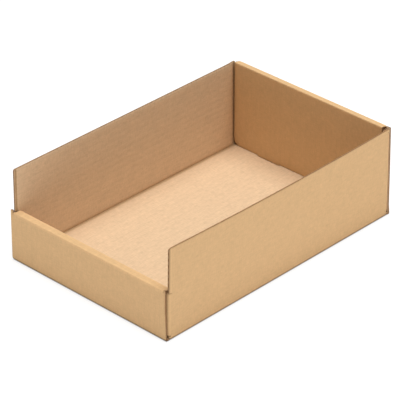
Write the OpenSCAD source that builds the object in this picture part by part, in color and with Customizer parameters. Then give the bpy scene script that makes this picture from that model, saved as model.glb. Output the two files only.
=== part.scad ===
// Open shelf bin folded from one die-cut sheet of corrugated board.
// The origin is at the centre of the underside. +Z is up, the low picking front faces -Y.

/* [Outside size] */
// Length from front to back
box_l = 306; // [200:1:400]
// Width across the side walls
box_w = 198; // [120:1:300]
// Height of the side walls and the back wall
side_h = 95; // [80:1:150]
// Height of the low front wall
front_h = 52; // [30:1:70]

/* [Board] */
// Thickness of the board, liners and fluting together
board_t = 2.6; // [2:0.1:3.4]
// Thickness of each liner
liner_t = 0.3; // [0.2:0.05:0.4]
// Thickness of the fluted paper
medium_t = 0.25; // [0.15:0.05:0.35]
// Pitch of the flutes
flute_pitch = 6.5; // [5:0.1:8]

/* [Folds] */
// Inner radius of the folds round the bottom
fold_inner_r = 1; // [0.4:0.1:2]
// Inner radius of the creases at the rims and corner flaps
crease_inner_r = 0.4; // [0.2:0.1:1]
// Gap between boards that lie against each other
ply_gap = 0.2; // [0.1:0.05:0.4]
// Width of the slits that part neighbouring panels
slit_w = 0.3; // [0.2:0.05:0.6]

/* [Roll-over end walls] */
// Gap from each side wall to the ends of the front rim and its inner panel
front_inset = 0.7; // [0.5:0.1:4]
// Gap from each side wall to the ends of the back rim and its inner panel
back_inset = 2.2; // [0.5:0.1:4]
// Drop from the rim to the outer panel's shoulder beside it
shoulder_drop = 1; // [0.5:0.1:2]
// Gap between the inner panel and the bottom
foot_gap = 0.3; // [0.2:0.05:1]
// Cut across the inner panel's lower corners
foot_cut = 3; // [2:0.5:6]

/* [Corner flaps] */
// Length of a corner flap, from the side wall's outside
flap_l = 84; // [40:1:84]
// Gap between a flap's upper edge and the rim above it
flap_drop = 1; // [0.6:0.1:3]
// Gap between a flap's lower edge and the bottom
flap_lift = 1.5; // [1:0.1:4]
// Cut across the corners of a flap's free end
flap_cut = 8; // [3:1:15]

/* [Locking tabs] */
// Width of a tab on the inner panel's lower edge
tab_w = 28; // [20:1:34]
// Distance between the centres of an end wall's two tabs
tab_pitch = 99; // [60:1:110]
// Gap round a tab in its slot
slot_gap = 0.25; // [0.15:0.05:0.5]
// Height of a tab's end above the underside
tab_lift = 0.3; // [0.1:0.1:0.8]

/* [Side walls] */
// Radius of the side walls' upper corners
wall_corner_r = 2; // [1:0.25:2.5]

/* [Hidden] */

$fn = 48;
kraft = "#cfa878";

back_h = side_h;
fold_r = board_t + fold_inner_r;
crease_r = board_t + crease_inner_r;
rim_d = 3 * board_t + 2 * ply_gap;
wall_start = board_t + ply_gap;
bend_end = wall_start + crease_r;
wall_x = box_w / 2 - board_t;
flap_z = board_t + flap_lift;
foot_z = board_t + foot_gap;

// Length of flat board that is drawn with each fold, inside the panel that goes on from it
lap = 0.3;

// Length by which a cut runs on past the board that it opens
cut_over = 1;

// Each flute leaves the liner this many degrees of its wave after the crest
glue_half = 20;
wave_steps = 10;
wave_amplitude = (board_t - 2 * liner_t - medium_t) / 2;

// Height of a corner flap's upper edge behind an end wall of the given height
function flap_top(wall_h) = wall_h - board_t - flap_drop;

// Width of a rim whose ends stand clear of the side walls by the given gap
function rim_w(inset) = box_w - 2 * (board_t + inset);

// Points of a quarter turn about c, from angle a
function quarter(c, r, a, steps = 6) =
    [for (i = [0:steps]) c + r * [cos(a + 90 * i / steps), sin(a + 90 * i / steps)]];

// A profile drawn in Y and Z, extruded along X about the middle
module along_x(length) {
    rotate([90, 0, 90]) linear_extrude(length, center = true) children();
}

// A profile drawn in X and Z, extruded along Y between two places
module along_y(y0, y1) {
    translate([0, y1, 0]) rotate([90, 0, 0]) linear_extrude(y1 - y0) children();
}

// Board folded through a right angle: the quarter below and left of the centre (r, r)
module folded_quarter(r) {
    intersection() {
        translate([r, r]) difference() {
            circle(r);
            circle(r - board_t);
        }
        square(r);
    }
}

// The same with a lap of flat board at both ends
module folded_board(r) {
    folded_quarter(r);
    translate([r, 0]) square([lap, board_t]);
    translate([0, r]) square([board_t, lap]);
}

// Local Y runs inwards from the wall's outer face in every end wall module

// Fold at the bottom edge and the outer panel above it, over the full width
module outer_panel(wall_h, inset) {
    along_x(box_w) {
        folded_quarter(fold_r);
        translate([0, fold_r]) square([board_t, wall_h - crease_r - fold_r]);
    }
    along_x(box_w - 2 * fold_r)
        translate([fold_r, 0]) square([lap, board_t]);
    shoulder_w = (box_w - rim_w(inset)) / 2 - slit_w;
    for (side = [-1, 1])
        translate([side * (box_w - shoulder_w) / 2, 0, wall_h - crease_r - lap])
            along_x(shoulder_w) square([board_t, crease_r - shoulder_drop + lap]);
}

// Double crease over the top of an end wall
module rolled_rim(wall_h, inset) {
    along_x(rim_w(inset)) {
        translate([0, wall_h]) mirror([0, 1]) folded_board(crease_r);
        translate([rim_d, wall_h]) rotate(180) folded_board(crease_r);
        translate([crease_r, wall_h - board_t]) square([rim_d - 2 * crease_r, board_t]);
    }
}

// Flutes across one tab, open at its end and closed by the crease of the rim above
module tab_flutes(wall_h) {
    count = floor(tab_w / flute_pitch - 0.5);
    start = -(count + 0.5) * flute_pitch / 2;
    translate([0, 0, tab_lift - cut_over]) linear_extrude(wall_h - crease_r - tab_lift)
        for (i = [0:count - 1]) {
            translate([start + i * flute_pitch, liner_t]) flute_cell();
            translate([start + (i + 0.5) * flute_pitch, board_t - liner_t]) mirror([0, 1]) flute_cell();
        }
}

// Panel that hangs inside from the rim, with its two tabs
module inner_panel(wall_h, inset) {
    half = rim_w(inset) / 2;
    top = wall_h - crease_r;
    difference() {
        union() {
            translate([0, rim_d, 0]) rotate([90, 0, 0]) linear_extrude(board_t)
                polygon([
                    [-half, foot_z + foot_cut], [-half + foot_cut, foot_z],
                    [half - foot_cut, foot_z], [half, foot_z + foot_cut],
                    [half, top], [-half, top],
                ]);
            for (side = [-1, 1])
                translate([side * tab_pitch / 2 - tab_w / 2, rim_d - board_t, tab_lift])
                    cube([tab_w, board_t, foot_z - tab_lift + lap]);
        }
        for (side = [-1, 1])
            translate([side * tab_pitch / 2, rim_d - board_t, 0]) tab_flutes(wall_h);
    }
}

module end_wall(wall_h, inset) {
    outer_panel(wall_h, inset);
    rolled_rim(wall_h, inset);
    inner_panel(wall_h, inset);
}

// Slots in the bottom that take an end wall's tabs
module tab_slots() {
    for (side = [-1, 1])
        translate([side * tab_pitch / 2 - tab_w / 2 - slot_gap, rim_d - board_t - slot_gap, -cut_over])
            cube([tab_w + 2 * slot_gap, board_t + 2 * slot_gap, board_t + 2 * cut_over]);
}

// Flap that turns in from the side wall's upright crease, on the +X side
module corner_flap(wall_h) {
    top = flap_top(wall_h);
    height = top - flap_z;
    translate([box_w / 2, wall_start, flap_z]) linear_extrude(height)
        mirror([1, 0]) folded_board(crease_r);
    near = box_w / 2 - crease_r;
    far = box_w / 2 - flap_l;
    translate([0, wall_start + board_t, 0]) rotate([90, 0, 0]) linear_extrude(board_t)
        polygon([
            [near, flap_z], [near, top],
            [far + flap_cut, top], [far, top - flap_cut],
            [far, flap_z + flap_cut], [far + flap_cut, flap_z],
        ]);
}

// Upright part of the +X side wall, with its open cut edge above the front flap
module side_panel() {
    front_edge = -box_l / 2 + wall_start;
    front_bend = -box_l / 2 + bend_end;
    front_step = flap_top(front_h) + slit_w;
    back_edge = box_l / 2 - wall_start;
    back_bend = box_l / 2 - bend_end;
    back_step = flap_top(back_h) + slit_w;
    r = wall_corner_r;
    translate([wall_x + board_t / 2, 0, 0]) along_x(board_t)
        polygon(concat(
            [[front_bend, fold_r], [back_bend, fold_r], [back_bend, back_step], [back_edge, back_step]],
            quarter([back_edge - r, side_h - r], r, 0),
            quarter([front_edge + r, side_h - r], r, 90),
            [[front_edge, front_step], [front_bend, front_step]]
        ));
}

// Hollow between a liner and one wave of the fluting. The liner lies along X, and the wave rises in Y.
module flute_cell() {
    function wave(a) = wave_amplitude * (1 - cos(a));
    angles = [for (i = [0:wave_steps]) glue_half + (360 - 2 * glue_half) * i / wave_steps];
    polygon(concat(
        [[flute_pitch * angles[0] / 360, 0], [flute_pitch * angles[wave_steps] / 360, 0]],
        [for (i = [wave_steps:-1:0]) [flute_pitch * angles[i] / 360, wave(angles[i])]]
    ));
}

// Flutes of the +X side wall, open at the front cut edge and closed by the back crease
module side_flutes() {
    low = flap_top(front_h) + slit_w;
    count = floor((side_h - liner_t - low) / flute_pitch - 0.5);
    start = side_h - liner_t - (count + 0.5) * flute_pitch;
    front = -box_l / 2 + wall_start - cut_over;
    back = box_l / 2 - bend_end;
    along_y(front, back)
        for (i = [0:count - 1]) {
            translate([wall_x + liner_t, start + i * flute_pitch]) mirror([1, -1]) flute_cell();
            translate([box_w / 2 - liner_t, start + (i + 0.5) * flute_pitch]) rotate(90) flute_cell();
        }
}

// The +X side wall: bottom fold, panel and both corner flaps
module side_wall() {
    along_y(-box_l / 2 + fold_r + slit_w, box_l / 2 - fold_r - slit_w)
        translate([box_w / 2, 0]) mirror([1, 0]) folded_board(fold_r);
    difference() {
        side_panel();
        side_flutes();
    }
    translate([0, -box_l / 2, 0]) corner_flap(front_h);
    translate([0, box_l / 2, 0]) mirror([0, 1, 0]) corner_flap(back_h);
}

module bottom_panel() {
    flat_w = box_w - 2 * fold_r;
    flat_l = box_l - 2 * fold_r;
    difference() {
        translate([-flat_w / 2, -flat_l / 2, 0]) cube([flat_w, flat_l, board_t]);
        translate([0, -box_l / 2, 0]) tab_slots();
        translate([0, box_l / 2, 0]) mirror([0, 1, 0]) tab_slots();
    }
}

module folded_bin() {
    color(kraft) union() {
        bottom_panel();
        translate([0, -box_l / 2, 0]) end_wall(front_h, front_inset);
        translate([0, box_l / 2, 0]) mirror([0, 1, 0]) end_wall(back_h, back_inset);
        side_wall();
        mirror([1, 0, 0]) side_wall();
    }
}

folded_bin();
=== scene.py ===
"""Looks of an open shelf bin: one sheet of corrugated board, with its two liners and its fluting."""

import math
from collections import namedtuple

import bpy
import numpy as np
from bpy.props import FloatProperty, FloatVectorProperty, IntProperty, PointerProperty
from mathutils import Matrix, Vector


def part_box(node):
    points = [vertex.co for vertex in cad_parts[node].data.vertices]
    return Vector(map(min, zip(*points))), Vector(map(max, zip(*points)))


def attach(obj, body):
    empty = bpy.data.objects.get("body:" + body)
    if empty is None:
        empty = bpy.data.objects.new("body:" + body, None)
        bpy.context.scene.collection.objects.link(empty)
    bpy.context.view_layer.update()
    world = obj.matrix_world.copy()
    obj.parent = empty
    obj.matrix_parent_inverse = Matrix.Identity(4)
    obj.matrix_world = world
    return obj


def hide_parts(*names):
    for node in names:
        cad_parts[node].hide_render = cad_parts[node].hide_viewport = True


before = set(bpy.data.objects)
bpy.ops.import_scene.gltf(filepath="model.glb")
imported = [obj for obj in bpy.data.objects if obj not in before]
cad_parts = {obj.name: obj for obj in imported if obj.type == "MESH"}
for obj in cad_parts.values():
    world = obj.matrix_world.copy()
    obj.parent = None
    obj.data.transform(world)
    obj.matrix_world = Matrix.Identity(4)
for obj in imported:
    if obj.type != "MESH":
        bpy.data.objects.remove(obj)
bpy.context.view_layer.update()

bl_info = {
    "name": "Folded Shelf Bin",
    "version": (1, 0, 0),
    "blender": (4, 5, 0),
    "location": "View3D > Sidebar > Shelf Bin",
    "description": "Builds the papers of a folded corrugated shelf bin and its studio",
    "category": "Object",
}

NODE = "folded_bin"
BODY = "root"
LOW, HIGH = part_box(NODE)
MM = 0.001

# Lengths that count as none and as endless on the blank, in millimetres, and the distance in metres within
# which a paper's points are joined
NEAR, ENDLESS, WELD = 1e-4, 1e3, 1e-6

# Width of the map on which the flat blank is drawn, in millimetres
BLANK_MAP = 700.0

# Gaps, slits and cuts of the blank, in millimetres
PLY_GAP, SLIT, SLOT_GAP = 0.2, 0.3, 0.25
FOOT_GAP, TAB_LIFT, FLAP_LIFT, FLAP_DROP = 0.3, 0.3, 1.5, 1.0
FOOT_CUT, FOOT_CUT_WIDTH, FLAP_CUT, CORNER_RADIUS = 3.0, 12.0, 8.0, 2.0

# Outside radii to which the bottom folds and the rims' creases are drawn tight, in millimetres
TIGHT_FOLD, TIGHT_CREASE = 1.6, 1.2

# Places across a fold at which a liner and the fluting have a line of points
BEND = (0.0, 0.16, 0.28, 0.38, 0.46, 0.54, 0.62, 0.72, 0.84, 1.0)
FLUTING_BEND = (0.0, 0.28, 0.5, 0.72, 1.0)

# Distances from the bin's ends at which the side walls have a line of points, in millimetres
END_LINES = (40.0, 28.0, 20.0, 17.0, 14.0, 11.5, 9.0, 7.0)

# Least distance between two lines of points in millimetres, least distance from a regular line to others
# as a share of its step, and the angle in degrees above which an edge is sharp
LINE_GAP, LINE_CLEAR, SHARP_ANGLE = 0.001, 0.3, 40.0

# Kinds of panel
BOTTOM, SIDE, FLAP, END = range(4)

# Powers by which the leans of the walls grow with height, and a cut end's shift in its fold
LEAN_POWER, FRONT_LEAN_POWER, CUT_END_POWER = 1.3, 1.2, 0.7

# Distances from an edge or a face at which a movement starts and is complete, in millimetres
FOLLOW_REACH, FLARE_REACH, DROP_REACH, EAR_REACH = (40.0, 4.0), (17.0, 3.0), (10.0, 3.0), (8.0, 3.0)
RIM_REACH, CORNER_REACH, ROLL_DEPTH, RIM_MARGIN = (16.0, 1.0), (8.0, 0.0), (0.5, 3.0), 1.5

# Heights between which the movements near the bin's corners grow, in millimetres
FLARE_RISE, TRIM_RISE, ROLL_RISE, OVER_RISE = (0.0, 10.0), (8.0, 30.0), (2.6, 9.0), (60.0, 92.0)

# Distance from the front rim's end at which the trim starts, and distances from the back wall's middle at
# which its right end starts to move and its left end is fully moved, in millimetres
TRIM_WIDTH, END_START, OVER_REACH = 2.0, 30.0, 60.0

# Widths of the pinch and the painted highlight and shade along folds and creases, and of the painted shade
# on the side walls before the back corners, in millimetres
FOLD_TONE, CREASE_TONE, CORNER_SHADE = 1.6, 1.2, 3.0

# Shares of a fold between which the painted shade along the bottom comes and goes, its strength on the
# upright creases, and how far before a corner flap's end it stops, in millimetres
BOTTOM_SHADE, UPRIGHT_SHADE, UPRIGHT_SHADE_STOP = ((0.2, 0.35), (0.64, 0.82)), 0.4, 60.0

# Share of the board's thickness that is pressed out at a cut edge
EDGE_PRESS = 0.45

# How a paper is drawn: its look, distance between points along the flutes in millimetres, places across
# a fold, shares of the folds' tightness that it follows and of its height that creases press out, distance
# by which the painted shade along the folds moves inwards, and strength of the painted shade along the
# bottom
Drawing = namedtuple("Drawing", "look step bend swell pinch inwards line")
DRAWINGS = {
    "outside_liner": Drawing("outside_paper", 10.0, BEND, 1.0, 0.0, 0.0, 6.0),
    "inside_liner": Drawing("inside_paper", 10.0, BEND, 0.2, 0.35, 0.9, 0.0),
    "fluting": Drawing("fluted_paper", 24.0, FLUTING_BEND, 0.5, 0.25, 0.0, 0.0),
}

# How a paper looks: its colour, shares of its tone that vary in clouds, fibres, grain and flute lines,
# share of painted highlight (above 0) and painted shade (below 0) along its folds, share of rubbed wear and
# painted shade at its cut edges, strength of its relief, and roughness
Look = namedtuple("Look", "colour cloud fibre grain lines crease edge relief rough")
LOOKS = {
    "outside_paper": Look("outside", 0.12, 0.22, 0.12, 0.02, 0.10, 0.22, 0.5, 0.82),
    "inside_paper": Look("inside", 0.14, 0.28, 0.18, 0.045, -0.40, 0.10, 0.5, 0.88),
    "fluted_paper": Look("fluting", 0.12, 0.12, 0.08, 0.0, 0.0, 0.0, 0.5, 0.92),
    "cut_paper": Look("cut", 0.12, 0.20, 0.14, 0.0, 0.0, 0.0, 0.6, 0.95),
}

# Noise per millimetre of a paper's clouds, fibres and grain, stretch of the fibres' noise, width of the
# rubbed wear and painted shade at cut edges in millimetres, height of the fibres in metres, gloss, and the
# warm tint of the painted shade in the darkest fold
CLOUD_SCALE, FIBRE_SCALE, GRAIN_SCALE = 0.09, 0.8, 3.2
FIBRES_ALONG, FIBRES_ACROSS = (1.0, 0.22, 1.0), (0.25, 1.1, 1.0)
RUBBED_AND_SHADED_WIDTH, FIBRE_HEIGHT, GLOSS, PAINTED_SHADE_WARMTH = 1.2, 0.00004, 0.25, (0.0, -0.3, -0.7)

# Power that narrows the flute lines, and the noise that breaks them up: scale, stretch, range, least share
LINE_POWER = 3.0
BREAK_SCALE, BREAK_STRETCH, BREAK_RANGE, BREAK_LOW = 0.12, (3.0, 0.3, 1.0), (0.3, 0.7), 0.4

# Floor: half width in metres, tone and own light for rays that light the bin, and for the camera
FLOOR_REACH = 6.0
FLOOR_TONE, FLOOR_LIGHT = 0.8, 0.66
SEEN_TONE, SEEN_LIGHT = 0.30, 0.76

# Painted shadow in the floor's glow: steps in which the glow brightens away from the bin, as reach in
# metres and share of the light, then the share that is left under the bin, and the distance inside the
# bin's edge at which it is reached
FLOOR_SHADOW_STEPS = ((0.006, 0.58), (0.06, 0.42))
SEEN_SHADOW_STEPS = ((0.0015, 0.12), (0.008, 0.02))
UNDER_LIGHT, UNDER_REACH = 0.15, 0.0012

# Colours of the sky, and the lamp's place and width in metres
SKY_COLOUR, WHITE = (1.0, 0.95, 0.91, 1), (1, 1, 1, 1)
LAMP_WAY, LAMP_COLOUR, LAMP_WIDTH, LAMP_DISTANCE = (0.115, 0.02, 1.0), (0.97, 0.99, 1.0), 2.4, 2.6
SENSOR_WIDTH, CLIP_END = 36.0, 50.0


def size(name, about, default, low=0.0, high=1.0):
    """A length in metres that a user may change."""
    return FloatProperty(name=name, description=about, default=default, min=low, max=high,
                         precision=5, subtype="DISTANCE", unit="LENGTH")


def lean(name, about, default):
    """A small length, either way, that a user may change."""
    return size(name, about, default, -0.01, 0.01)


def angle(name, about, degrees):
    """An angle that a user may change."""
    return FloatProperty(name=name, description=about, default=math.radians(degrees),
                         subtype="ANGLE", unit="ROTATION")


def shade(name, about, default):
    """A colour that a user may change."""
    return FloatVectorProperty(name=name, description=about, default=default, min=0.0, max=1.0,
                               subtype="COLOR")


class BinSizes(bpy.types.PropertyGroup):
    """Outside sizes of the bin and of its roll-over walls."""
    width: size("Width", "Across the side walls", HIGH[0] - LOW[0])
    length: size("Length", "From front to back", HIGH[1] - LOW[1])
    height: size("Height", "Side walls and back wall", HIGH[2] - LOW[2])
    front_height: size("Front height", "Low front wall", 0.052)
    front_inset: size("Front inset", "From a side wall to the end of the front rim", 0.0007)
    back_inset: size("Back inset", "From a side wall to the end of the back rim", 0.0022)
    tab_width: size("Tab width", "Locking tab on an inner panel", 0.028)
    tab_pitch: size("Tab pitch", "Between the two tabs of a wall", 0.099)
    flap_length: size("Flap length", "Corner flap, from the side wall's outside", 0.084)


class BoardSizes(bpy.types.PropertyGroup):
    """The corrugated board and the way it folds."""
    board: size("Board", "Thickness of the board", 0.0026)
    liner: size("Liner", "Thickness of a liner", 0.0003)
    medium: size("Fluted paper", "Thickness of the fluted paper", 0.00025)
    pitch: size("Flute pitch", "Distance between two flutes", 0.0065)
    fold_radius: size("Fold radius", "Outside of the folds round the bottom", 0.0036)
    crease_radius: size("Crease radius", "Outside of the creases at rims and flaps", 0.003)
    outside_relief: size("Outside relief", "Height of the flutes seen through the outside liner", 0.00003)
    inside_relief: size("Inside relief", "Height of the flutes seen through the inside liner", 0.00004)
    liner_steps: IntProperty(name="Liner steps", description="Faces of a liner across one flute",
                             default=4, min=4)
    flute_steps: IntProperty(name="Flute steps", description="Faces of the fluting across one flute",
                             default=8, min=6)


class Leans(bpy.types.PropertyGroup):
    """How the folded walls lean, and how their rims and cut ends are shifted."""
    left_front: lean("Left wall, front", "Outward lean", -0.0003)
    left_back: lean("Left wall, back", "Outward lean", 0.0005)
    left_flare: lean("Left wall flare", "Outward, at its back end", 0.0021)
    left_drop: lean("Left wall drop", "Drop of its back upper corner", 0.0014)
    right_front: lean("Right wall, front", "Outward lean", 0.0006)
    right_back: lean("Right wall, back", "Outward lean", 0.0004)
    right_bow: lean("Right wall bow", "Outward bow at the middle", 0.0027)
    front_in: lean("Front wall", "Inward lean", 0.0003)
    front_over: lean("Front wall top", "Shift of the top to the left", 0.0007)
    front_left: lean("Front wall, left end", "Shift to the left", 0.0016)
    front_right: lean("Front wall, right end", "Distance trimmed off", 0.0033)
    front_rim: lean("Front rim shift", "Rim and inner panel, to the left", 0.0003)
    front_low: lean("Front rim drop", "Drop of the whole rim", 0.0007)
    front_ear: lean("Front wall, left shoulder", "Rise beside the rim", 0.0010)
    back_left_in: lean("Back wall, left", "Inward lean", 0.0012)
    back_right_in: lean("Back wall, right", "Inward lean", 0.0017)
    back_ears: lean("Side walls' back ends", "Distance drawn in at the top", 0.0014)
    back_over: lean("Back rim shift", "Rim and inner panel, to the left", 0.0023)
    back_end: lean("Back wall, right end", "Outer panel's top, to the left", 0.0015)
    back_pull: lean("Back rim pull", "Inner crease, towards the outer one", 0.0005)
    back_low: lean("Back rim, outer crease", "Drop", 0.0005)
    back_ear: lean("Back wall, left shoulder", "Drop beside the rim", 0.0018)
    back_high: lean("Back rim, inner crease", "Rise", 0.0006)


class PaperColours(bpy.types.PropertyGroup):
    """Colours of the papers."""
    outside: shade("Outside liner", "Kraft paper of the outside", (0.636, 0.406, 0.203))
    inside: shade("Inside liner", "Paler kraft paper of the inside", (0.69, 0.490, 0.308))
    fluting: shade("Fluting", "Paper of the flutes", (0.28, 0.15, 0.065))
    cut: shade("Cut edge", "Cut edges of the papers", (0.42, 0.23, 0.11))


class StageValues(bpy.types.PropertyGroup):
    """Camera and light."""
    azimuth: angle("Azimuth", "Camera's turn to the right of the front", 43.230)
    elevation: angle("Elevation", "Camera's height above the floor", 30.724)
    roll: angle("Roll", "Camera's turn about its own axis", 0.446)
    distance: size("Distance", "From the bin to the camera", 2.365, 0.1, 20.0)
    aside: size("Aside", "Camera's place to the right", -0.003949, -1.0, 1.0)
    above: size("Above", "Camera's place upwards", 0.033942, -1.0, 1.0)
    focal: size("Focal length", "On a sensor 36 mm wide", 2513.919 / 400 * 0.036, 0.01, 1.0)
    sky: FloatProperty(name="Sky", description="Light from all round", default=0.247, min=0.0)
    lamp: FloatProperty(name="Lamp", description="Soft lamp above", default=1.213, min=0.0)


SETTINGS = {
    "shelf_bin_sizes": BinSizes,
    "shelf_bin_board": BoardSizes,
    "shelf_bin_leans": Leans,
    "shelf_bin_colours": PaperColours,
    "shelf_bin_stage": StageValues,
}


# The flat blank and its folds

class Blank:
    """The die-cut sheet in millimetres, from its middle: u runs across the flutes and v along them."""

    def __init__(self, scene, drawing):
        s, b = scene.shelf_bin_sizes, scene.shelf_bin_board
        self.half_w, self.half_l = s.width / MM / 2, s.length / MM / 2
        self.heights = (s.front_height / MM, s.height / MM)
        self.insets = (s.front_inset / MM, s.back_inset / MM)
        self.top = s.height / MM
        self.t, self.pitch = b.board / MM, b.pitch / MM
        self.fold_r, self.crease_r = b.fold_radius / MM, b.crease_radius / MM
        self.tab_w, self.tab_at = s.tab_width / MM, s.tab_pitch / MM / 2
        self.flap_l = s.flap_length / MM
        self.rim_d = 3 * self.t + 2 * PLY_GAP
        self.foot_z, self.tab_z, self.flap_z = self.t + FOOT_GAP, TAB_LIFT, self.t + FLAP_LIFT
        self.bend, self.swell = drawing.bend, drawing.swell
        self.fold_mid, self.crease_mid = self.fold_r - self.t / 2, self.crease_r - self.t / 2
        self.fold_len, self.crease_len = math.pi / 2 * self.fold_mid, math.pi / 2 * self.crease_mid
        self.u_fold, self.v_fold = self.half_w - self.fold_r, self.half_l - self.fold_r
        self.u_wall = self.u_fold + self.fold_len
        self.ear_end = self.half_l - self.t - PLY_GAP
        self.v_flap = self.ear_end - self.crease_r
        self.flap_end = self.v_flap + self.crease_len + self.flap_l - self.crease_r
        self.u_top = self.u_wall + self.top - self.fold_r

    def u_of_z(self, z):
        return self.u_wall + z - self.fold_r

    def flap_top(self, end):
        return self.heights[end] - self.t - FLAP_DROP

    def rim_half(self, end):
        return self.half_w - self.t - self.insets[end]

    def stations(self, end):
        """Places along an end wall's path: fold, panel, crease, rim, crease, inner panel, tab."""
        h = self.heights[end]
        steps = (self.fold_len, h - self.fold_r - self.crease_r, self.crease_len,
                 self.rim_d - 2 * self.crease_r, self.crease_len, h - self.crease_r - self.foot_z,
                 self.foot_z - self.tab_z)
        return self.v_fold + np.cumsum(steps)

    def u_stops(self):
        """Lines across the blank on which something starts or ends, on one side."""
        stops = [0.0, self.u_fold, self.u_wall, self.u_of_z(self.flap_z), self.u_top]
        stops += [self.u_wall - k * self.fold_len for k in self.bend]
        stops += [self.u_top - k * CORNER_RADIUS / 4 for k in (1, 2, 3, 4)]
        for gap in (0.0, SLOT_GAP):
            stops += [self.tab_at - self.tab_w / 2 - gap, self.tab_at + self.tab_w / 2 + gap]
        for end in (0, 1):
            stops += [self.rim_half(end), self.rim_half(end) + SLIT]
            stops += [self.u_of_z(self.flap_top(end)), self.u_of_z(self.flap_top(end) + SLIT)]
        return sorted(stops)

    def v_stops(self, end):
        """Lines along the blank on which something starts or ends, towards one end wall."""
        w = self.stations(end)
        slot = self.half_l - self.rim_d + self.t + SLOT_GAP
        stops = [0.0, slot - self.t - 2 * SLOT_GAP, slot, self.v_fold - SLIT, self.v_fold]
        stops += [self.v_flap + k * self.crease_len for k in self.bend]
        stops += [self.half_l - k for k in END_LINES]
        stops += [self.ear_end, self.ear_end - CORNER_RADIUS, self.ear_end - 0.4 * CORNER_RADIUS]
        stops += [self.v_fold + k * self.fold_len for k in self.bend]
        stops += [start + k * self.crease_len for start in (w[1], w[3]) for k in self.bend]
        stops += [w[1] - 1.0, w[5] - FOOT_CUT, w[5], w[6], self.flap_end, self.flap_end - FLAP_CUT]
        return sorted(stops)


def grid_lines(stops, regular, near):
    """The sorted stops, and those of the regular lines that keep a little away from every stop."""
    stops = np.array(stops)
    stops = stops[np.diff(stops, prepend=-1.0) > LINE_GAP]
    free = [r for r in regular if np.abs(stops - r).min() > near]
    return np.sort(np.concatenate([stops, free]))


def blank_grid(blank, flute_steps, v_step):
    """All grid lines of the blank, from its left to its right and from its front to its back."""
    step = blank.pitch / flute_steps
    half = grid_lines(blank.u_stops(), np.arange(step, blank.u_top, step), LINE_CLEAR * step)
    us = np.concatenate([-half[:0:-1], half])
    sides = []
    for end in (0, 1):
        last = blank.stations(end)[6]
        sides.append(grid_lines(blank.v_stops(end), np.arange(v_step, last, v_step), LINE_CLEAR * v_step))
    return us, np.concatenate([-sides[0][:0:-1], sides[1]])


def board_is_there(blank, u, v):
    """Whether the blank has board at a place."""
    a, b = np.abs(u), np.abs(v)
    there = np.zeros(np.broadcast(a, b).shape, bool)
    z = a - blank.u_wall + blank.fold_r
    slot = blank.half_l - blank.rim_d + blank.t + SLOT_GAP
    in_tab = np.abs(a - blank.tab_at) < blank.tab_w / 2
    in_slot = (np.abs(a - blank.tab_at) < blank.tab_w / 2 + SLOT_GAP) & (b < slot)
    in_slot &= b > slot - blank.t - 2 * SLOT_GAP
    there |= (a < blank.u_fold) & (b < blank.v_fold) & ~in_slot
    there |= (a > blank.u_fold) & (a < blank.u_wall) & (b < blank.v_fold - SLIT)
    there |= (a > blank.u_wall) & (b < blank.v_flap)
    for end in (0, 1):
        here = (v > 0) == (end == 1)
        w = blank.stations(end)
        rim = a < blank.rim_half(end)
        shoulder = (a > blank.rim_half(end) + SLIT) & (b > w[1]) & (b < w[1] + blank.crease_len)
        strip = (b < w[1]) | (rim & (b < w[5])) | shoulder | (in_tab & (b < w[6]))
        there |= here & (a < blank.u_wall) & (b > blank.v_fold) & strip
        ear = (z > blank.flap_top(end) + SLIT) & (b < blank.ear_end)
        flap = (z > blank.flap_z) & (z < blank.flap_top(end)) & (b < blank.flap_end)
        there |= here & (a > blank.u_wall) & (b > blank.v_flap) & (ear | flap)
    return there


def ramp(value, low, high):
    """0 below the range, 1 above it, and straight between."""
    return np.clip((value - low) / (high - low), 0, 1)


def rounded(p, q, p_end, q_end, r):
    """Moves the points of a square corner region onto a rounded corner."""
    a, b = (p - p_end + r) / r, (q - q_end + r) / r
    inside = (a > 0) & (b > 0) & (a < 1 + NEAR) & (b < 1 + NEAR)
    a2, b2 = np.clip(a, 0, 1) ** 2, np.clip(b, 0, 1) ** 2
    p = np.where(inside, p_end - r + r * a * np.sqrt(1 - b2 / 2), p)
    q = np.where(inside, q_end - r + r * b * np.sqrt(1 - a2 / 2), q)
    return p, q


def trim_corners(blank, u, v):
    """Draws in the cut and rounded corners of the blank."""
    a, b = np.abs(u), np.abs(v)
    wall = a > blank.u_wall + NEAR
    p, q = rounded(a, b, blank.u_top, blank.ear_end, CORNER_RADIUS)
    a, b = np.where(wall, p, a), np.where(wall, q, b)
    for end in (0, 1):
        here = (v > 0) == (end == 1)
        w, half = blank.stations(end), blank.rim_half(end)
        down, out = ramp(b, w[5] - FOOT_CUT, w[5]), ramp(a, half - FOOT_CUT_WIDTH, half)
        foot = here & ~wall & (b > w[5] - FOOT_CUT) & (b < w[5] + NEAR)
        a = np.where(foot, a - FOOT_CUT * down * out ** 2, a)
        low, high = blank.u_of_z(blank.flap_z), blank.u_of_z(blank.flap_top(end))
        mid, reach = (low + high) / 2, (high - low) / 2
        far = ramp(b, blank.flap_end - FLAP_CUT, blank.flap_end)
        flap = here & wall & (b > blank.flap_end - FLAP_CUT) & (a < high + NEAR)
        a = np.where(flap, mid + (a - mid) * (1 - FLAP_CUT * far / reach), a)
    return a * np.sign(u), b * np.sign(v)


def fold_angle(place, start, length):
    """How far the board has turned at a place in a fold."""
    return np.clip((place - start) / length, 0, 1) * math.pi / 2


def bent(blank, turn, middle, outer, small):
    """Radius of the board's middle in a fold whose outside is drawn tighter than a quarter circle."""
    c, total = outer - small, np.sin(turn) + np.cos(turn)
    high, low = np.maximum(np.sin(turn), np.cos(turn)), np.minimum(np.sin(turn), np.cos(turn))
    tight = c * total + np.sqrt(np.maximum(small ** 2 - c ** 2 * (2 - total ** 2), 0))
    reach = np.where(low * outer < c * high, outer / high, tight)
    return middle + blank.swell * (reach - outer)


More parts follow.
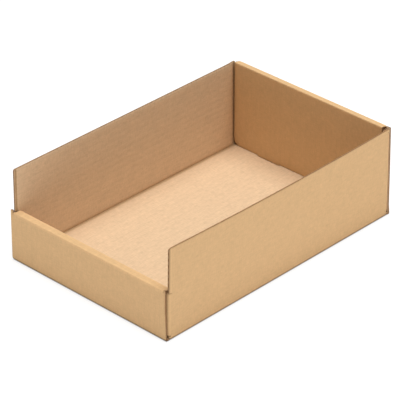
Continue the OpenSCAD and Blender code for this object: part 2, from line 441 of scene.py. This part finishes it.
def fold_side(blank, a, b, end):
    """Middle of the board, and the way its outside faces, on a side wall and its corner flaps."""
    turn, none = fold_angle(a, blank.u_fold, blank.fold_len), np.zeros(a.shape)
    mid = bent(blank, turn, blank.fold_mid, blank.fold_r, TIGHT_FOLD)
    wall = a > blank.u_wall - NEAR
    x = np.where(wall, blank.half_w - blank.t / 2, blank.u_fold + mid * np.sin(turn))
    z = np.where(wall, a - blank.u_wall + blank.fold_r, blank.fold_r - mid * np.cos(turn))
    place, out = np.stack([x, b, z], -1), np.stack([np.sin(turn), none, -np.cos(turn)], -1)
    flap_top = np.where(end, blank.flap_top(1), blank.flap_top(0))
    on_flap = wall & (b > blank.v_flap + NEAR) & (z < flap_top + NEAR)
    turn = fold_angle(b, blank.v_flap, blank.crease_len)
    straight = np.maximum(b - blank.v_flap - blank.crease_len, 0)
    x = blank.half_w - blank.crease_r + blank.crease_mid * np.cos(turn) - straight
    y = blank.v_flap + blank.crease_mid * np.sin(turn)
    flap_out = np.stack([np.cos(turn), np.sin(turn), none], -1)
    place = np.where(on_flap[..., None], np.stack([x, y, z], -1), place)
    return place, np.where(on_flap[..., None], flap_out, out), on_flap


def fold_end(blank, a, b, end):
    """Middle of the board, and the way its outside faces, on one roll-over wall."""
    w, h = blank.stations(end), blank.heights[end]
    x = np.where(a < blank.u_fold, a, blank.u_fold + (a - blank.u_fold) * blank.fold_r / blank.fold_len)
    bend = fold_angle(b, blank.v_fold, blank.fold_len)
    first, second = fold_angle(b, w[1], blank.crease_len), fold_angle(b, w[3], blank.crease_len)
    fold = bent(blank, bend, blank.fold_mid, blank.fold_r, TIGHT_FOLD)
    mid1 = bent(blank, first, blank.crease_mid, blank.crease_r, TIGHT_CREASE)
    mid2 = bent(blank, second, blank.crease_mid, blank.crease_r, TIGHT_CREASE)
    shoulder = (a > blank.rim_half(end) + NEAR) & (b > w[1])
    parts = [
        (b < w[0] + NEAR, blank.fold_r - fold * np.sin(bend), blank.fold_r - fold * np.cos(bend),
         np.sin(bend), -np.cos(bend)),
        ((b < w[1] + NEAR) | shoulder, blank.t / 2, blank.fold_r + b - w[0], 1, 0),
        (b < w[2] + NEAR, blank.crease_r - mid1 * np.cos(first), h - blank.crease_r + mid1 * np.sin(first),
         np.cos(first), np.sin(first)),
        (b < w[3] + NEAR, blank.crease_r + b - w[2], h - blank.t / 2, 0, 1),
        (b < w[4] + NEAR, blank.rim_d - blank.crease_r + mid2 * np.sin(second),
         h - blank.crease_r + mid2 * np.cos(second), -np.sin(second), np.cos(second)),
    ]
    rest = (blank.rim_d - blank.t / 2, h - blank.crease_r - (b - w[4]), -1, 0)
    picked = [np.select([p[0] for p in parts], [np.broadcast_to(p[k + 1], b.shape) for p in parts],
                        np.broadcast_to(rest[k], b.shape)) for k in range(4)]
    depth, z, out_y, out_z = picked
    place = np.stack([x, blank.half_l - depth, z], -1)
    return place, np.stack([np.zeros(b.shape), out_y, out_z], -1)


def fold_blank(blank, u, v):
    """Folds places on the flat blank up into the bin: middle of the board, way out, and kind of panel."""
    a, b = np.abs(u), np.abs(v)
    end = v > 0
    place = np.stack([a, b, np.full(a.shape, blank.t / 2)], -1)
    out = np.broadcast_to([0.0, 0.0, -1.0], place.shape).copy()
    kind = np.full(a.shape, BOTTOM)
    is_end = (b > blank.v_fold + NEAR) & (a < blank.u_wall + NEAR)
    is_side = ~is_end & (a > blank.u_fold + NEAR) & ((b < blank.v_fold - NEAR) | (a > blank.u_wall + NEAR))
    side_place, side_out, on_flap = fold_side(blank, a, b, end)
    place[is_side], out[is_side] = side_place[is_side], side_out[is_side]
    kind[is_side] = SIDE
    kind[is_side & on_flap] = FLAP
    for n in (0, 1):
        mine = is_end & (end == (n == 1))
        end_place, end_out = fold_end(blank, a, b, n)
        place[mine], out[mine] = end_place[mine], end_out[mine]
        kind[mine] = END
    for field in (place, out):
        field[..., 0] *= np.where(u < 0, -1, 1)
        field[..., 1] *= np.where(v < 0, -1, 1)
    return place, out, kind


def close_to(value, edge, reach):
    """0 far from an edge and 1 close to it."""
    return ramp(value, edge - reach[0], edge - reach[1])


def lean_walls(blank, leans, place, kind):
    """Moves the folded walls off upright, as they stand in use."""
    mm = lambda name: getattr(leans, name) / MM
    x, y, z = place[..., 0], place[..., 1], place[..., 2]
    across = ramp(x, -blank.half_w, blank.half_w)
    up = ramp(z, 0, blank.top) ** LEAN_POWER
    front_up = ramp(z, 0, blank.heights[0]) ** FRONT_LEAN_POWER
    front_in = mm("front_in") * front_up
    back_in = (mm("back_left_in") * (1 - across) + mm("back_right_in") * across) * up
    moves = (
        ((kind == SIDE) | (kind == FLAP), lean_sides(blank, mm, x, y, z, up, front_in, back_in)),
        ((kind == END) & (y < 0), lean_front(blank, mm, x, y, z, across, front_up, front_in)),
        ((kind == END) & (y > 0), lean_back(blank, mm, x, y, z, up, back_in)),
    )
    return place + sum(mine[..., None] * np.stack(move, -1) for mine, move in moves)


def lean_sides(blank, mm, x, y, z, up, front_in, back_in):
    """Side walls and their flaps, which lean with the end walls close to them."""
    far = blank.half_l
    along = ramp(y, -far, far)
    right = mm("right_front") * (1 - along) + mm("right_back") * along
    right += 4 * mm("right_bow") * along * (1 - along)
    left = mm("left_front") * (1 - along) + mm("left_back") * along
    flare = mm("left_flare") * close_to(y, far, FLARE_REACH) ** 2 * ramp(z, *FLARE_RISE)
    dx = np.where(x > 0, right * up, -left * up - flare)
    ears = back_in + mm("back_ears") * up * close_to(x, blank.half_w, EAR_REACH)
    dy = front_in * close_to(-y, far, FOLLOW_REACH) - ears * close_to(y, far, FOLLOW_REACH)
    drop = close_to(y, far, DROP_REACH) ** 2 * close_to(z, blank.top, CORNER_REACH)
    return dx, dy, -mm("left_drop") * (x < 0) * drop


def lean_front(blank, mm, x, y, z, across, front_up, front_in):
    """Front wall: its cut ends move to the left, and its rim is kept clear of the left wall."""
    grow = 0.5 + 0.5 * ramp(z, *TRIM_RISE)
    trim = mm("front_right") * grow * ramp(x, blank.rim_half(0) - TRIM_WIDTH, blank.half_w)
    ends = (mm("front_left") * (1 - across) + trim) * ramp(z, 0, blank.fold_r) ** CUT_END_POWER
    rolled = ramp(y + blank.half_l, *ROLL_DEPTH)
    dx = -((1 - rolled) * (ends + mm("front_over") * front_up) + rolled * mm("front_rim"))
    rim = np.abs(x) < blank.rim_half(0) + SLIT / 2
    near_top = close_to(z, blank.heights[0], RIM_REACH)
    return dx, front_in, -near_top * np.where(rim, mm("front_low"), -mm("front_ear") * (x < 0))


def lean_back(blank, mm, x, y, z, up, back_in):
    """Back wall: its rolled-over part stands to the left, and its rim is drawn tight."""
    depth, half = blank.half_l - y, blank.rim_half(1)
    rolled, panel = ramp(depth, *ROLL_DEPTH), mm("back_end") * up * ramp(x, END_START, blank.half_w)
    left_end = ramp(x, -blank.half_w, -half) * ramp(-x, 0, OVER_REACH)
    panel += mm("back_over") * ramp(z, *OVER_RISE) * left_end
    dx = -((1 - rolled) * panel + rolled * mm("back_over") * ramp(z, *ROLL_RISE))
    inner = ramp(depth, RIM_MARGIN, blank.rim_d - RIM_MARGIN)
    dy = mm("back_pull") * inner * ramp(z, 0, blank.top) - back_in
    rise = mm("back_high") * inner - mm("back_low") * (1 - inner) - mm("back_ear") * (x < -half - SLIT / 2)
    return dx, dy, rise * close_to(z, blank.top, RIM_REACH)


def edge_distance(there, lines, axis):
    """For each grid point, how far the board goes on along one axis before it ends."""
    there = np.moveaxis(there, axis, 0)
    n = len(lines)
    point = np.zeros((n, there.shape[1] + 1))
    best = np.full(point.shape, ENDLESS)
    padded = np.zeros((n + 1, there.shape[1] + 2), bool)
    padded[1:n, 1:-1] = there
    before = padded[:-1, :-1] | padded[:-1, 1:]
    after = padded[1:, :-1] | padded[1:, 1:]
    for order, solid in ((range(n), before), (range(n - 1, -1, -1), after)):
        run, last = np.zeros(point.shape[1]), None
        for i in order:
            run = np.where(solid[i], run + (0 if last is None else abs(lines[i] - lines[last])), 0)
            best[i] = np.minimum(best[i], run)
            last = i
    return np.moveaxis(best, 0, axis)


def paper_mesh(name, blank, leans, flute_steps, drawing):
    """The middle of the board as an open grid, with what the flutes and the papers need."""
    us, vs = blank_grid(blank, flute_steps, drawing.step)
    u, v = np.meshgrid(us, vs, indexing="ij")
    mid_u, mid_v = np.meshgrid((us[1:] + us[:-1]) / 2, (vs[1:] + vs[:-1]) / 2, indexing="ij")
    there = board_is_there(blank, mid_u, mid_v)
    edge = np.minimum(edge_distance(there, us, 0), edge_distance(there, vs, 1))
    u, v = trim_corners(blank, u, v)
    place, out, kind = fold_blank(blank, u, v)
    place = lean_walls(blank, leans, place, kind)
    crease = crease_mask(blank, u, v, drawing.inwards)
    index = np.arange(u.size).reshape(u.shape)
    i, j = np.nonzero(there)
    quads = np.stack([index[i, j], index[i, j + 1], index[i + 1, j + 1], index[i + 1, j]], 1)
    used = np.unique(quads)
    new_index = np.full(u.size, -1)
    new_index[used] = np.arange(len(used))
    pick = lambda field: field.reshape((-1,) + field.shape[2:])[used]
    mesh = bpy.data.meshes.new(name)
    mesh.from_pydata((pick(place) * MM).tolist(), [], new_index[quads].tolist())
    floats = {
        "flute": pick(u) * MM,
        "squeeze": 1 - drawing.pinch * pick(crease) - EDGE_PRESS * np.exp(-pick(edge)),
        # Mask of the painted highlight and shade along the folds, less the painted shade along the bin's
        # bottom edge
        "crease": pick(crease - drawing.line * painted_bottom_shade(blank, u, v)),
        "edge": pick(edge),
    }
    for key, values in floats.items():
        mesh.attributes.new(key, "FLOAT", "POINT").data.foreach_set("value", values.astype(np.float32))
    ways = mesh.attributes.new("out", "FLOAT_VECTOR", "POINT").data
    ways.foreach_set("vector", pick(out).astype(np.float32).ravel())
    flat = np.stack([pick(u), pick(v)], 1) / BLANK_MAP + 0.5
    corners = np.empty(len(mesh.loops), np.int32)
    mesh.loops.foreach_get("vertex_index", corners)
    mesh.uv_layers.new(name="blank").data.foreach_set("uv", flat[corners].astype(np.float32).ravel())
    return mesh


def bell(value, middle, width):
    """1 at the middle, fading away on both sides."""
    return np.exp(-(((value - middle) / width) ** 2))


def crease_mask(blank, u, v, inwards):
    """1 in the middle of a fold or crease and 0 away from it, for the pinch and the painted highlight and
    shade.
    """
    a, b = np.abs(u), np.abs(v)
    # On the inside, the fold's painted shade and its pinch lie further onto the floor, and wider
    side_fold = blank.u_fold + blank.fold_len / 2 - inwards
    mask = bell(a, side_fold, FOLD_TONE + inwards) * (b < blank.v_fold)
    for end in (0, 1):
        here = (v > 0) == (end == 1)
        w = blank.stations(end)
        on_end = here & (a < blank.u_wall + NEAR)
        rim = on_end & (a < blank.rim_half(end) + NEAR)
        mask += on_end * bell(b, blank.v_fold + blank.fold_len / 2, FOLD_TONE)
        for start in (w[1], w[3]):
            mask += rim * bell(b, start + blank.crease_len / 2, CREASE_TONE)
    on_wall = a > blank.u_wall
    mask += on_wall * (b > blank.v_flap) * bell(b, blank.v_flap + blank.crease_len / 2, CREASE_TONE)
    # Painted shade on the inside of the side walls, close to the back corners
    if inwards > 0:
        mask += on_wall * (b <= blank.v_flap) * (v > 0) * bell(b, blank.v_flap, CORNER_SHADE)
    return np.clip(mask, 0, 1)


def painted_bottom_shade(blank, u, v):
    """Painted shade: 1 along the bin's lower edge, where the folds meet the floor, and less along its
    upright creases.
    """
    a, b = np.abs(u), np.abs(v)
    come, go = BOTTOM_SHADE
    line = lambda way: ramp(way, *come) * (1 - ramp(way, *go))
    across = line((a - blank.u_fold) / blank.fold_len) * (b < blank.v_fold)
    along = line((b - blank.v_fold) / blank.fold_len) * (a < blank.u_wall + NEAR)
    upright = ramp(b, blank.v_flap + 1, blank.v_flap + 2) * (b < blank.flap_end - UPRIGHT_SHADE_STOP)
    return across + along + UPRIGHT_SHADE * upright * (a > blank.u_wall)


# Geometry Nodes: the wave of the flutes

class Nodes:
    """Short ways to add nodes to a tree and to join them."""

    def __init__(self, tree):
        self.tree = tree

    def add(self, kind, inputs=None, **settings):
        node = self.tree.nodes.new(kind)
        for key, value in settings.items():
            setattr(node, key, value)
        for key, value in (inputs or {}).items():
            self.feed(node.inputs[key], value)
        return node

    def feed(self, socket, value):
        if isinstance(value, bpy.types.NodeSocket):
            self.tree.links.new(value, socket)
        else:
            socket.default_value = value

    def math(self, operation, *values):
        node = self.add("ShaderNodeMath", operation=operation)
        for socket, value in zip(node.inputs, values):
            self.feed(socket, value)
        return node.outputs[0]

    def vector(self, operation, inputs):
        return self.add("ShaderNodeVectorMath", inputs, operation=operation).outputs[0]


def cleared(owner):
    """The emptied node tree of a material or a world."""
    owner.use_nodes = True
    owner.node_tree.nodes.clear()
    return Nodes(owner.node_tree)


def flute_tree():
    """Bends an open sheet into the flutes' wave, and gives it its thickness and its papers."""
    tree = bpy.data.node_groups.new("flute_wave", "GeometryNodeTree")
    face = tree.interface
    face.new_socket("Sheet", in_out="INPUT", socket_type="NodeSocketGeometry")
    for name in ("Pitch", "Height", "From Middle", "Thickness"):
        face.new_socket(name, in_out="INPUT", socket_type="NodeSocketFloat")
    for name in ("Paper", "Cut"):
        face.new_socket(name, in_out="INPUT", socket_type="NodeSocketMaterial")
    face.new_socket("Sheet", in_out="OUTPUT", socket_type="NodeSocketGeometry")
    n = Nodes(tree)
    inp = n.add("NodeGroupInput").outputs
    read = lambda name, kind="FLOAT": n.add("GeometryNodeInputNamedAttribute", {"Name": name},
                                            data_type=kind).outputs["Attribute"]
    out = read("out", "FLOAT_VECTOR")
    turn = n.math("MULTIPLY", n.math("DIVIDE", read("flute"), inp["Pitch"]), 2 * math.pi)
    wave = n.math("MULTIPLY", n.math("COSINE", turn), inp["Height"])
    rise = n.math("MULTIPLY", n.math("ADD", wave, inp["From Middle"]), read("squeeze"))
    rise = n.math("SUBTRACT", rise, n.math("MULTIPLY", inp["Thickness"], 0.5))
    shift = n.vector("SCALE", {0: out, "Scale": rise})
    wavy = n.add("GeometryNodeSetPosition", {"Geometry": inp["Sheet"], "Offset": shift}).outputs[0]
    thick = n.add("GeometryNodeExtrudeMesh", {"Mesh": wavy, "Offset": out, "Offset Scale": inp["Thickness"],
                                              "Individual": False})
    marked = n.add("GeometryNodeStoreNamedAttribute", {"Geometry": thick.outputs["Mesh"], "Name": "cut",
                                                       "Value": thick.outputs["Side"]},
                   data_type="BOOLEAN", domain="FACE").outputs[0]
    under = n.add("GeometryNodeFlipFaces", {"Mesh": wavy}).outputs[0]
    both = n.add("GeometryNodeJoinGeometry")
    for part in (marked, under):
        n.feed(both.inputs[0], part)
    closed = n.add("GeometryNodeMergeByDistance", {"Geometry": both.outputs[0], "Distance": WELD})
    real = n.add("GeometryNodeRealizeInstances", {"Geometry": closed.outputs[0]}).outputs[0]
    paper = n.add("GeometryNodeSetMaterial", {"Geometry": real, "Material": inp["Paper"]}).outputs[0]
    cut = n.add("GeometryNodeSetMaterial", {"Geometry": paper, "Selection": read("cut", "BOOLEAN"),
                                            "Material": inp["Cut"]}).outputs[0]
    n.add("NodeGroupOutput", {"Sheet": cut})
    return tree


def add_paper(context, name, height, middle, thickness, flute_steps):
    """Makes one of the board's three papers over the whole blank."""
    scene, drawing = context.scene, DRAWINGS[name]
    blank = Blank(scene, drawing)
    mesh = paper_mesh(name, blank, scene.shelf_bin_leans, flute_steps, drawing)
    obj = bpy.data.objects.new(name, mesh)
    scene.collection.objects.link(obj)
    tree = bpy.data.node_groups.get("flute_wave") or flute_tree()
    modifier = obj.modifiers.new("flutes", "NODES")
    modifier.node_group = tree
    values = {"Pitch": blank.pitch * MM, "Height": height, "From Middle": middle, "Thickness": thickness,
              "Paper": paper_material(drawing.look, scene), "Cut": paper_material("cut_paper", scene)}
    for item in tree.interface.items_tree:
        if item.name in values:
            modifier[item.identifier] = values[item.name]
    context.view_layer.update()
    solid = bpy.data.meshes.new_from_object(obj.evaluated_get(context.evaluated_depsgraph_get()))
    obj.modifiers.clear()
    obj.data = solid
    solid.name = name
    solid.shade_smooth()
    solid.set_sharp_from_angle(angle=math.radians(SHARP_ANGLE))
    if not solid.polygons:
        raise RuntimeError(f"{name} has no faces")
    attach(obj, BODY)
    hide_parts(NODE)
    return obj


# Materials

def new_group(name, inputs, outputs):
    """A shader node group with named inputs and outputs."""
    tree = bpy.data.node_groups.new(name, "ShaderNodeTree")
    kinds = {"float": "NodeSocketFloat", "colour": "NodeSocketColor", "vector": "NodeSocketVector"}
    for key, (kind, default) in inputs.items():
        socket = tree.interface.new_socket(key, in_out="INPUT", socket_type=kinds[kind])
        if default is not None:
            socket.default_value = default
    for key, kind in outputs.items():
        tree.interface.new_socket(key, in_out="OUTPUT", socket_type=kinds[kind])
    n = Nodes(tree)
    return n, n.add("NodeGroupInput").outputs, n.add("NodeGroupOutput")


def noise(n, place, scale, detail=2.0, stretch=(1, 1, 1)):
    """Noise at a scale per millimetre."""
    spot = n.vector("MULTIPLY", {0: place, 1: stretch})
    return n.add("ShaderNodeTexNoise", {"Vector": spot, "Scale": scale, "Detail": detail}).outputs["Fac"]


def remap(n, value, low, high, to_low=0.0, to_high=1.0):
    """A value mapped from one range to another, and kept within it."""
    node = n.add("ShaderNodeMapRange", clamp=True)
    for socket, number in zip(node.inputs, (value, low, high, to_low, to_high)):
        n.feed(socket, number)
    return node.outputs[0]


def kraft_group():
    """Kraft paper: cloudy formation, fibres and fine grain, as a colour and a height."""
    inputs = {"Place": ("vector", None), "Colour": ("colour", (0.7, 0.5, 0.3, 1)), "Cloud": ("float", 0.05),
              "Fibre": ("float", 0.08), "Grain": ("float", 0.05)}
    n, inp, outp = new_group("kraft_fibres", inputs, {"Colour": "colour", "Height": "float"})
    swing = lambda *values: n.math("SUBTRACT", noise(n, inp["Place"], *values), 0.5)
    cloud = swing(CLOUD_SCALE, 4.0)
    weave = n.math("ADD", swing(FIBRE_SCALE, 3.0, FIBRES_ALONG), swing(FIBRE_SCALE, 3.0, FIBRES_ACROSS))
    grain = swing(GRAIN_SCALE, 2.0)
    total = 1.0
    for layer, share in ((cloud, "Cloud"), (weave, "Fibre"), (grain, "Grain")):
        total = n.math("ADD", total, n.math("MULTIPLY", layer, inp[share]))
    colour = n.vector("SCALE", {0: inp["Colour"], "Scale": total})
    n.feed(outp.inputs["Colour"], colour)
    n.feed(outp.inputs["Height"], n.math("ADD", weave, grain))
    return n.tree


def flute_group():
    """Lines of the flutes as they show through a liner, as a mask and a height."""
    inputs = {"Place": ("vector", None), "Pitch": ("float", 6.5)}
    n, inp, outp = new_group("flute_lines", inputs, {"Line": "float", "Height": "float"})
    across = n.add("ShaderNodeSeparateXYZ", {0: inp["Place"]}).outputs["X"]
    turn = n.math("MULTIPLY", n.math("DIVIDE", across, inp["Pitch"]), 2 * math.pi)
    wave = n.math("MULTIPLY_ADD", n.math("COSINE", turn), 0.5, 0.5)
    patches = noise(n, inp["Place"], BREAK_SCALE, 2.0, BREAK_STRETCH)
    broken = remap(n, patches, *BREAK_RANGE, BREAK_LOW, 1.0)
    n.feed(outp.inputs["Line"], n.math("MULTIPLY", n.math("POWER", wave, LINE_POWER), broken))
    n.feed(outp.inputs["Height"], wave)
    return n.tree


def paper_material(name, scene):
    """One of the board's papers as a material on the blank's own map."""
    if name in bpy.data.materials:
        return bpy.data.materials[name]
    look = LOOKS[name]
    material = bpy.data.materials.new(name)
    n = cleared(material)
    flat = n.add("ShaderNodeUVMap", uv_map="blank").outputs[0]
    place = n.vector("SCALE", {0: flat, "Scale": BLANK_MAP})
    centred = n.vector("ADD", {0: place, 1: (-BLANK_MAP / 2, -BLANK_MAP / 2, 0)})
    colour = tuple(getattr(scene.shelf_bin_colours, look.colour)) + (1.0,)
    values = {"Place": centred, "Colour": colour, "Cloud": look.cloud, "Fibre": look.fibre,
              "Grain": look.grain}
    groups = bpy.data.node_groups
    kraft = n.add("ShaderNodeGroup", node_tree=groups.get("kraft_fibres") or kraft_group())
    flute = n.add("ShaderNodeGroup", node_tree=groups.get("flute_lines") or flute_group())
    for key, value in values.items():
        n.feed(kraft.inputs[key], value)
    n.feed(flute.inputs["Place"], centred)
    n.feed(flute.inputs["Pitch"], scene.shelf_bin_board.pitch / MM)
    # Painted highlight along the outside's creases and painted shade in the inside's folds
    fold_shade_and_highlight = n.add("ShaderNodeAttribute", attribute_name="crease").outputs["Fac"]
    rim = n.add("ShaderNodeAttribute", attribute_name="edge").outputs["Fac"]
    # Cut edges darken, partly as rubbed wear and partly as painted shade
    rubbed_and_shaded = remap(n, rim, 0.0, RUBBED_AND_SHADED_WIDTH, 1.0, 0.0)
    light = n.math("SUBTRACT", 1.0, n.math("MULTIPLY", flute.outputs["Line"], look.lines))
    light = n.math("ADD", light, n.math("MULTIPLY", fold_shade_and_highlight, look.crease))
    light = n.math("SUBTRACT", light, n.math("MULTIPLY", rubbed_and_shaded, look.edge))
    tone = n.vector("SCALE", {0: kraft.outputs["Colour"], "Scale": light})
    # Painted shade in the folds is tinted warm, as the light that folds throw back and forth is warm
    depth = n.math("MULTIPLY", fold_shade_and_highlight, max(-look.crease, 0.0))
    shade_warmth = n.vector("MULTIPLY_ADD", {0: depth, 1: PAINTED_SHADE_WARMTH, 2: (1.0, 1.0, 1.0)})
    tone = n.vector("MULTIPLY", {0: tone, 1: shade_warmth})
    surface = n.add("ShaderNodeBump", {"Strength": look.relief, "Distance": FIBRE_HEIGHT,
                                       "Height": kraft.outputs["Height"]}).outputs[0]
    shader = n.add("ShaderNodeBsdfPrincipled", {"Base Color": tone, "Roughness": look.rough,
                                                "Normal": surface, "Specular IOR Level": GLOSS})
    n.add("ShaderNodeOutputMaterial", {"Surface": shader.outputs[0]})
    return material


# Operators

class OutsideLiner(bpy.types.Operator):
    """Makes the liner that is the bin's outside and rolls over the end walls"""
    bl_idname = "shelf_bin.outside_liner"
    bl_label = "Outside Liner"

    def execute(self, context):
        board = context.scene.shelf_bin_board
        middle = (board.board - board.liner) / 2 - board.outside_relief
        add_paper(context, "outside_liner", board.outside_relief, middle, board.liner, board.liner_steps)
        return {"FINISHED"}


class InsideLiner(bpy.types.Operator):
    """Makes the liner that faces the goods on the floor and the side walls"""
    bl_idname = "shelf_bin.inside_liner"
    bl_label = "Inside Liner"

    def execute(self, context):
        board = context.scene.shelf_bin_board
        middle = -(board.board - board.liner) / 2 + board.inside_relief
        add_paper(context, "inside_liner", board.inside_relief, middle, board.liner, board.liner_steps)
        return {"FINISHED"}


class Fluting(bpy.types.Operator):
    """Makes the fluted paper between the liners"""
    bl_idname = "shelf_bin.fluting"
    bl_label = "Fluting"

    def execute(self, context):
        board = context.scene.shelf_bin_board
        height = (board.board - 2 * board.liner - board.medium) / 2
        add_paper(context, "fluting", height, 0.0, board.medium, board.flute_steps)
        return {"FINISHED"}


class Stage(bpy.types.Operator):
    """Sets up the pale floor, the lights and the camera"""
    bl_idname = "shelf_bin.stage"
    bl_label = "Stage"

    def execute(self, context):
        scene = context.scene
        values = scene.shelf_bin_stage
        add_floor(scene)
        add_sky(scene, values.sky)
        add_lamp(scene, values.lamp)
        add_camera(scene, values)
        scene.view_settings.view_transform = "Standard"
        return {"FINISHED"}


def add_floor(scene):
    """A large pale floor that keeps the bin's soft shadow, partly cast and partly painted into its glow."""
    r = FLOOR_REACH
    mesh = bpy.data.meshes.new("floor")
    mesh.from_pydata([(-r, -r, 0), (r, -r, 0), (r, r, 0), (-r, r, 0)], [], [(0, 1, 2, 3)])
    floor = bpy.data.objects.new("floor", mesh)
    scene.collection.objects.link(floor)
    material = bpy.data.materials.new("pale_floor")
    n = cleared(material)
    lit = glowing_paint(n, FLOOR_TONE, FLOOR_LIGHT, FLOOR_SHADOW_STEPS)
    seen = glowing_paint(n, SEEN_TONE, SEEN_LIGHT, SEEN_SHADOW_STEPS)
    mix = n.add("ShaderNodeMixShader", {0: direct_ray(n), 1: lit, 2: seen}).outputs[0]
    n.add("ShaderNodeOutputMaterial", {"Surface": mix})
    mesh.materials.append(material)


def direct_ray(n):
    """1 for rays that show the floor or the sky itself, and 0 for those that carry light to the bin."""
    path = n.add("ShaderNodeLightPath").outputs
    through = n.math("MAXIMUM", path["Is Glossy Ray"], path["Is Transmission Ray"])
    return n.math("MAXIMUM", path["Is Camera Ray"], through)


def glowing_paint(n, tone, strength, steps):
    """Grey paint that also gives light of its own, with a painted shadow near and under the bin."""
    paint = n.add("ShaderNodeBsdfDiffuse", {"Color": (tone, tone, tone, 1)}).outputs[0]
    glow = n.add("ShaderNodeEmission", {"Color": WHITE, "Strength": glow_with_painted_shadow(n, strength, steps)})
    return n.add("ShaderNodeAddShader", {0: paint, 1: glow.outputs[0]}).outputs[0]


def glow_with_painted_shadow(n, strength, steps):
    """Strength of the floor's light, with a painted shadow that dims it close to the bin and under it."""
    spot = n.add("ShaderNodeSeparateXYZ", {0: n.add("ShaderNodeNewGeometry").outputs["Position"]}).outputs
    past = [n.math("SUBTRACT", n.math("ABSOLUTE", spot[axis]), HIGH[k]) for k, axis in enumerate("XY")]
    beyond = [n.math("MAXIMUM", way, 0.0) for way in past]
    away = n.math("SQRT", n.math("ADD", n.math("MULTIPLY", beyond[0], beyond[0]),
                                 n.math("MULTIPLY", beyond[1], beyond[1])))
    total = 1.0 - sum(share for _, share in steps)
    for reach, share in steps:
        total = n.math("ADD", remap(n, away, 0.0, reach, 0.0, share), total)
    under = remap(n, n.math("MAXIMUM", *past), -UNDER_REACH, 0.0, UNDER_LIGHT, 1.0)
    return n.math("MULTIPLY", n.math("MULTIPLY", total, under), strength)


def add_sky(scene, strength):
    """Even warm white light from all round, and a white background."""
    scene.world = bpy.data.worlds.new("studio")
    n = cleared(scene.world)
    light = n.add("ShaderNodeBackground", {"Color": SKY_COLOUR, "Strength": strength}).outputs[0]
    white = n.add("ShaderNodeBackground", {"Color": WHITE, "Strength": 1.0}).outputs[0]
    mix = n.add("ShaderNodeMixShader", {0: direct_ray(n), 1: light, 2: white}).outputs[0]
    n.add("ShaderNodeOutputWorld", {"Surface": mix})


def add_lamp(scene, strength):
    """A wide soft lamp high above, a little to the right."""
    data = bpy.data.lights.new("soft_lamp", "AREA")
    data.shape = "DISK"
    data.size = LAMP_WIDTH
    data.energy = strength * math.pi ** 2 * LAMP_DISTANCE ** 2
    data.color = LAMP_COLOUR
    lamp = bpy.data.objects.new("soft_lamp", data)
    way = Vector(LAMP_WAY).normalized()
    lamp.location = way * LAMP_DISTANCE
    lamp.rotation_euler = way.to_track_quat("Z", "Y").to_euler()
    scene.collection.objects.link(lamp)


def add_camera(scene, values):
    """The camera at the photograph's angle."""
    az, el, roll = values.azimuth, values.elevation, values.roll
    back = Vector((math.sin(az) * math.cos(el), -math.cos(az) * math.cos(el), math.sin(el)))
    right = Vector((math.cos(az), math.sin(az), 0))
    up = back.cross(right)
    turned_right = right * math.cos(roll) + up * math.sin(roll)
    turned_up = up * math.cos(roll) - right * math.sin(roll)
    data = bpy.data.cameras.new("camera")
    data.sensor_width = SENSOR_WIDTH
    data.lens = values.focal * 1000
    data.clip_end = CLIP_END
    camera = bpy.data.objects.new("camera", data)
    place = back * values.distance + turned_right * values.aside + turned_up * values.above
    turn = Matrix((turned_right, turned_up, back)).transposed()
    camera.matrix_world = Matrix.Translation(place) @ turn.to_4x4()
    scene.collection.objects.link(camera)
    scene.camera = camera


OPERATORS = (OutsideLiner, InsideLiner, Fluting, Stage)


class ShelfBinPanel(bpy.types.Panel):
    """Lists the bin's pieces and their settings"""
    bl_idname = "VIEW3D_PT_shelf_bin"
    bl_label = "Shelf Bin"
    bl_space_type = "VIEW_3D"
    bl_region_type = "UI"
    bl_category = "Shelf Bin"

    def draw(self, context):
        for operator in OPERATORS:
            self.layout.operator(operator.bl_idname)
        for name, group in SETTINGS.items():
            box = self.layout.box()
            for key in group.__annotations__:
                box.prop(getattr(context.scene, name), key)


CLASSES = tuple(SETTINGS.values()) + OPERATORS + (ShelfBinPanel,)


def register():
    for cls in CLASSES:
        bpy.utils.register_class(cls)
    for name, group in SETTINGS.items():
        setattr(bpy.types.Scene, name, PointerProperty(type=group))


def unregister():
    for name in SETTINGS:
        delattr(bpy.types.Scene, name)
    for cls in reversed(CLASSES):
        bpy.utils.unregister_class(cls)


def main():
    register()
    for operator in OPERATORS:
        group, name = operator.bl_idname.split(".")
        getattr(getattr(bpy.ops, group), name)()


if __name__ == "__main__":
    main()
